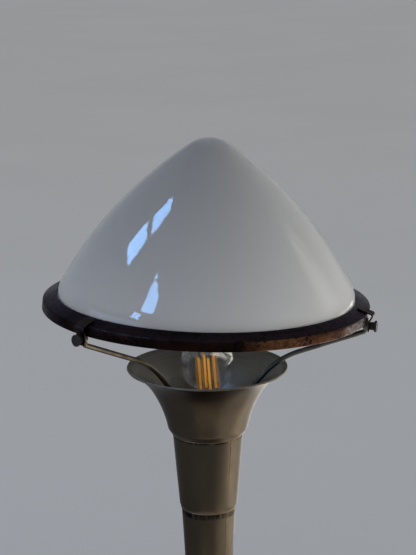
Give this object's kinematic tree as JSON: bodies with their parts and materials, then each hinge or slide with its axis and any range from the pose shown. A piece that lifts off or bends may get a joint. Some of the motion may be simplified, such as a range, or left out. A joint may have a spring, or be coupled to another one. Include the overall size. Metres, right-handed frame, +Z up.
{
  "type": "table lamp",
  "caption": "Table lamp with a pointed opal glass shade in a dark metal ring, carried by bent arms above a horn-shaped metal stem on a round base.",
  "frame": {"origin": "centre of the flat face that the lamp stands on, on the stem's axis", "axes": "+Z up along the stem, -Y towards the front, +X to the right seen from the front; the back, where the cord bush is, is +Y"},
  "size_m": [0.2679, 0.2681, 0.4807],
  "materials": {
    "opal_glass": "satin opal",
    "dark_bronze": "worn dark bronze",
    "horn_metal": "dull tinned",
    "aged_brass": "tarnished",
    "steel": "dull",
    "black_knob": "worn gloss",
    "bulb_clear": "clear",
    "amber_filament": "satin",
    "black_insulator": "gloss",
    "cast_iron": "rough",
    "felt": "felt",
    "rubber": "matte"
  },
  "bodies": {
    "stand": {"felt_pad": "felt", "base_plate": "steel", "base_plate_screws": "steel", "base_weight": "cast_iron", "base_shell": "horn_metal", "cord_bush": "black_insulator", "rod_washer": "steel", "rod_nut": "steel", "foot_collar": "aged_brass", "stem_rod": "steel", "lower_stem": "horn_metal", "middle_stem": "horn_metal", "upper_stem": "horn_metal", "horn_bell": "horn_metal", "arm_hub": "aged_brass", "hub_nut": "steel", "hub_grub_screws": "steel", "lampholder_cap": "aged_brass", "lampholder_shell": "black_insulator", "lampholder_insulator": "black_insulator", "terminal_screws": "aged_brass", "screw_contact": "aged_brass", "centre_contact": "aged_brass", "shade_ring": "dark_bronze", "seat_ring": "rubber", "support_arm_1": "aged_brass", "support_arm_2": "steel", "support_arm_3": "aged_brass"},
    "shade": {"shade_glass": "opal_glass"},
    "bulb": {"bulb_glass": "bulb_clear", "bulb_cap": "steel", "bulb_insulator": "black_insulator", "bulb_tip": "steel", "bulb_stem": "bulb_clear", "filaments": "amber_filament", "filament_leads": "steel"},
    "clip_1": {"ring_clip_1": "dark_bronze"},
    "thumbscrew_1": {"thumbscrew_1": "black_knob"},
    "clip_2": {"ring_clip_2": "dark_bronze"},
    "thumbscrew_2": {"thumbscrew_2": "black_knob"},
    "clip_3": {"ring_clip_3": "dark_bronze"},
    "thumbscrew_3": {"thumbscrew_3": "black_knob"}
  },
  "joints": [
    {"name": "shade_lift", "type": "slide", "parent": "stand", "child": "shade", "axis": [0.0349, 0, 0.9994], "range_m": [0, 0.15]},
    {"name": "bulb_turn", "type": "hinge", "parent": "stand", "child": "bulb", "pos_m": [0, 0, 0.29433], "axis": [0, 0, 1], "range_deg": [0, 1080]},
    {"name": "clip_1_slide", "type": "slide", "parent": "stand", "child": "clip_1", "axis": [-0.7067, -0.7071, 0.0247], "range_m": [0, 0.0021]},
    {"name": "thumbscrew_1_turn", "type": "hinge", "parent": "clip_1", "child": "thumbscrew_1", "pos_m": [-0.09507, -0.09475, 0.34234], "axis": [-0.7067, -0.7071, 0.0247], "range_deg": [0, 1080]},
    {"name": "clip_2_slide", "type": "slide", "parent": "stand", "child": "clip_2", "axis": [0.9653, -0.2588, -0.0337], "range_m": [0, 0.0021]},
    {"name": "thumbscrew_2_turn", "type": "hinge", "parent": "clip_2", "child": "thumbscrew_2", "pos_m": [0.12898, -0.03468, 0.33452], "axis": [0.9653, -0.2588, -0.0337], "range_deg": [0, 1080]},
    {"name": "clip_3_slide", "type": "slide", "parent": "stand", "child": "clip_3", "axis": [-0.2587, 0.9659, 0.009], "range_m": [0, 0.0021]},
    {"name": "thumbscrew_3_turn", "type": "hinge", "parent": "clip_3", "child": "thumbscrew_3", "pos_m": [-0.03504, 0.12943, 0.34025], "axis": [-0.2587, 0.9659, 0.009], "range_deg": [0, 1080]}
  ],
  "couplings": [
    {"joint": "thumbscrew_1_turn", "follows": "clip_1_slide", "rad_per_m": 8976},
    {"joint": "thumbscrew_2_turn", "follows": "clip_2_slide", "rad_per_m": 8976},
    {"joint": "thumbscrew_3_turn", "follows": "clip_3_slide", "rad_per_m": 8976}
  ]
}
